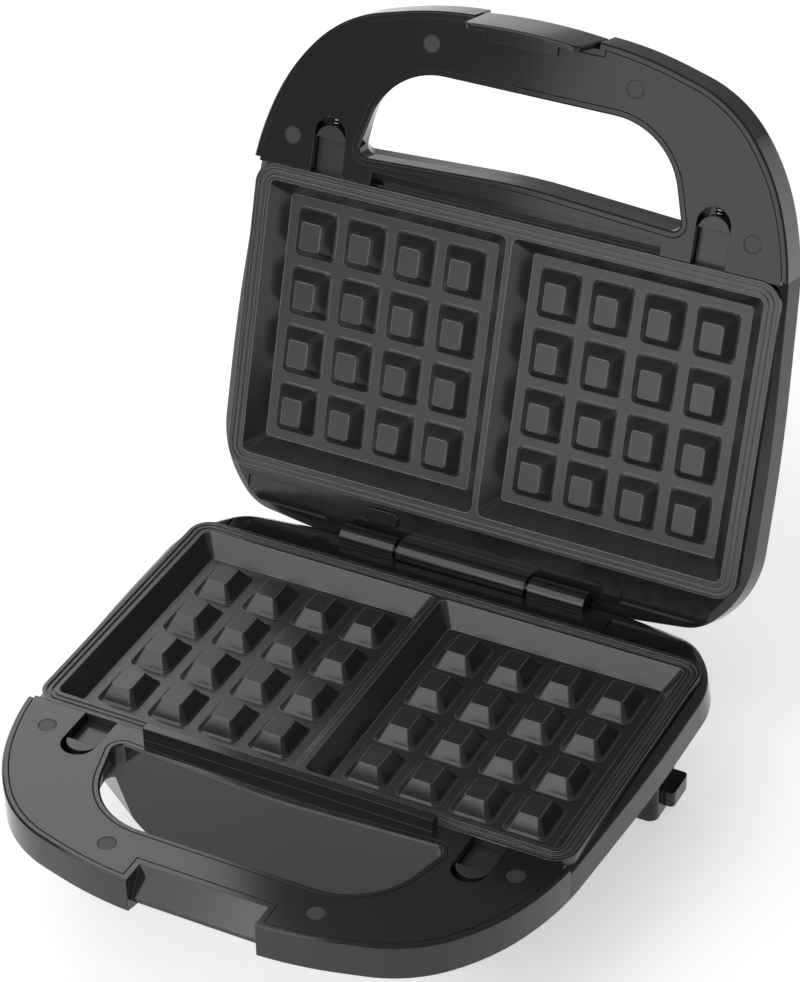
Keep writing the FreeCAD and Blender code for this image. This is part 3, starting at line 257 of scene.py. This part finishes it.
zinc = metal("zinc_plate", colour=(0.62, 0.63, 0.65, 1), stain=(0.5, 0.5, 0.49, 1), rough=0.3,
             streak=(900, 900, 900))
sheet = metal("rolled_aluminium", colour=(0.78, 0.78, 0.79, 1), stain=(0.66, 0.66, 0.66, 1), rough=0.3,
              streak=(2500, 90, 90))
sheath = metal("heated_sheath", colour=(0.3, 0.27, 0.25, 1), stain=(0.2, 0.17, 0.18, 1), rough=0.5,
               streak=(600, 600, 600))
can = metal("pressed_can", colour=(0.63, 0.63, 0.64, 1), stain=(0.52, 0.52, 0.51, 1), rough=0.35,
            streak=(700, 700, 700))
print("metals", [m.name for m in (zinc, sheet, sheath, can)])

# %% [markdown]
# Rubber, ceramic and the leads' glass sleeve are dull. They differ by their colour and their grain: rubber
# is finely pitted, ceramic is chalky, and the sleeve is the coarsest. Voronoi cells give all three grains.

# %% Dull finishes
DULL_SPECULAR = 0.3
DULL_LOW, DULL_HIGH = 0.3, 0.7
DULL_SWING = 0.06
CLOUD_PER_GRAIN = 12
PIT_STRENGTH = 0.5
DULL_CORNER = 0.25 * MM


def dull(name, colour, second, rough, grain, depth):
    made = Finish(name, Specular_IOR_Level=DULL_SPECULAR)
    pits = made.cells(grain)
    cloud = made.noise(grain * CLOUD_PER_GRAIN)
    made.set({
        "Base Color": made.blend(cloud, colour, second),
        "Roughness": made.span(cloud, DULL_LOW, DULL_HIGH, rough - DULL_SWING, rough + DULL_SWING),
        "Normal": made.bump(pits, depth, PIT_STRENGTH, made.soft_edges(DULL_CORNER)),
    })
    return made.material


pad_rubber = dull("pad_rubber", colour=grey(0.02), second=grey(0.03), rough=0.75,
                  grain=0.5 * MM, depth=0.04 * MM)
gland_rubber = dull("gland_rubber", colour=grey(0.018), second=grey(0.024), rough=0.62,
                    grain=0.4 * MM, depth=0.02 * MM)
ceramic = dull("pale_ceramic", colour=(0.78, 0.75, 0.68, 1), second=(0.7, 0.66, 0.58, 1), rough=0.7,
               grain=0.3 * MM, depth=0.02 * MM)
sleeve = dull("glass_sleeve", colour=(0.72, 0.7, 0.64, 1), second=(0.6, 0.57, 0.5, 1), rough=0.8,
              grain=0.6 * MM, depth=0.08 * MM)
print("dull finishes", [m.name for m in (pad_rubber, gland_rubber, ceramic, sleeve)])

# %% [markdown]
# The two lenses in the lid are tinted clear plastic, and the lamps behind them are glass bulbs. The lenses
# let only part of the light through, because such a lens is also frosted by its tint.

# %% Clear finishes
CLEAR_IOR = 1.49
CLEAR_CLOUD = 2 * MM
CLEAR_DEEPER = 0.8
CLEAR_LOW, CLEAR_HIGH = 0.3, 0.7
CLEAR_SWING = 0.06


def clear(name, colour, rough, transmission):
    made = Finish(name, IOR=CLEAR_IOR, Transmission_Weight=transmission)
    cloud = made.noise(CLEAR_CLOUD)
    deeper = tuple(CLEAR_DEEPER * v for v in colour[:3]) + (1.0,)
    made.set({
        "Base Color": made.blend(cloud, colour, deeper),
        "Roughness": made.span(cloud, CLEAR_LOW, CLEAR_HIGH, rough, rough + CLEAR_SWING),
    })
    return made.material


red_lens = clear("red_lens", colour=(0.55, 0.02, 0.015, 1), rough=0.1, transmission=0.35)
green_lens = clear("green_lens", colour=(0.02, 0.36, 0.06, 1), rough=0.1, transmission=0.35)
lamp_glass = clear("lamp_glass", colour=(0.9, 0.84, 0.78, 1), rough=0.04, transmission=0.85)
print("clear finishes", [m.name for m in (red_lens, green_lens, lamp_glass)])

# %% [markdown]
# Each node has one slot in the record, so the finishes go on by slot. Going by node name would need a line
# for each of the nodes, and two pieces of one material could drift apart.

# %% Dress the nodes
finish_of_slot = {
    "housing_plastic": housing_plastic,
    "frame_plastic": frame_plastic,
    "nonstick_coat": plate_coat,
    "element_sheath": sheath,
    "bright_steel": zinc,
    "reflector_sheet": sheet,
    "cap_plastic": cap_plastic,
    "tab_plastic": tab_plastic,
    "thermostat_can": can,
    "pale_ceramic": ceramic,
    "lead_sleeve": sleeve,
    "pad_rubber": pad_rubber,
    "gland_rubber": gland_rubber,
    "red_lens": red_lens,
    "green_lens": green_lens,
    "lamp_glass": lamp_glass,
}
for row in frame["record"]["subparts"]:
    slots = frame["nodes"][row["node"]].data.materials
    slots.clear()
    slots.append(finish_of_slot[row["material_slot"]])

# %% [markdown]
# The floor is one pale sheet. To the camera and in reflections it is lifted towards white, and it keeps
# the shadow, because the lift is added to the light that falls on it. More lamps would whiten it too, but
# they would also bleach the object.

# %% Floor
FLOOR_SIZE = 14.0
FLOOR_LIFT = 0.52
FLOOR_SHADE = 0.8
FLOOR_ROUGHNESS = 0.9
FLOOR_SPECULAR = 0.1
bpy.ops.object.select_all(action="DESELECT")
bpy.ops.mesh.primitive_plane_add(size=FLOOR_SIZE, location=(0, 0, 0))
floor = bpy.context.object
floor.name = "floor"
paper = Finish("pale_floor", Base_Color=grey(FLOOR_SHADE), Roughness=FLOOR_ROUGHNESS,
               Specular_IOR_Level=FLOOR_SPECULAR)
seen = [paper.node("ShaderNodeLightPath", {}, {}, kind)
        for kind in ("Is Camera Ray", "Is Glossy Ray", "Is Transmission Ray")]
lift = paper.blend(seen[0] + seen[1] + seen[2], grey(0.0), grey(FLOOR_LIFT))
paper.set({"Emission Color": lift, "Emission Strength": 1.0})
floor.data.materials.append(paper.material)
print("floor", FLOOR_SIZE)

# %% [markdown]
# The studio is a dim grey room with soft boxes. One stands behind to the left, where the base's handle
# mirrors it, one in front, where the lid mirrors it, and the key stands high in front to the left. The
# last hangs overhead for a plain level of light and is kept out of the gloss, as bounced light would be.
# A lamp's power is worked out from how bright its cloth looks, so its size can change on its own.

# %% World and lamps
ROOM_LEVEL = 0.22
POWER_PER_BRIGHTNESS = 4
world = bpy.data.worlds.new("grey_room")
bpy.context.scene.world = world
world.use_nodes = True
world.node_tree.nodes["Background"].inputs["Color"].default_value = grey(1.0)
world.node_tree.nodes["Background"].inputs["Strength"].default_value = ROOM_LEVEL


def soft_box(name, place, target, size, brightness):
    """Rectangular area lamp at a place, facing its target."""
    bpy.ops.object.light_add(type="AREA", location=place)
    lamp = bpy.context.object
    lamp.name = name
    lamp.data.shape = "RECTANGLE"
    lamp.data.size, lamp.data.size_y = size
    lamp.data.energy = POWER_PER_BRIGHTNESS * brightness * size[0] * size[1]
    lamp.rotation_euler = (Vector(target) - lamp.location).to_track_quat("-Z", "Y").to_euler()
    return lamp


soft_box("rear_left_box", place=(-1.265, 1.11, 1.46), target=(-0.10, -0.1, 0.07), size=(0.85, 1.1),
         brightness=1.8)
soft_box("front_box", place=(0.42, -1.75, 0.45), target=(0.42, 0.0, 0.45), size=(2.3, 0.9), brightness=1.2)
soft_box("key_box", place=(-0.82, -1.42, 1.47), target=(0, 0, 0.1), size=(1.5, 2.2), brightness=1.5)
overhead = soft_box("overhead_box", place=(0.1, -0.3, 2.4), target=(0, 0, 0.1), size=(2.0, 2.0),
                    brightness=0.8)
overhead.visible_glossy = False

# %% [markdown]
# The camera was solved from the corners of both plates. It looks down from the front right, with a long
# lens and a slight roll. Turn, tilt and roll are kept apart, so that each can be read and changed alone.

# %% Camera
CAMERA_PLACE = (0.489384, -0.921211, 0.888693)
AZIMUTH, ELEVATION, ROLL = 27.634, 35.347, -1.221
LENS, SENSOR_WIDTH = 125.113, 36
CLIP_START = 0.05
bpy.ops.object.camera_add()
camera = bpy.context.object
camera.name = "photo_camera"
camera.data.lens = LENS
camera.data.sensor_width = SENSOR_WIDTH
turn = Matrix.Rotation(math.radians(AZIMUTH), 4, "Z")
tilt = Matrix.Rotation(math.radians(90 - ELEVATION), 4, "X")
roll = Matrix.Rotation(math.radians(ROLL), 4, "Z")
camera.matrix_world = Matrix.Translation(CAMERA_PLACE) @ turn @ tilt @ roll
camera.data.clip_start = CLIP_START
bpy.context.scene.camera = camera
bpy.context.scene.view_settings.view_transform = "Standard"
print("camera", camera.location[:])
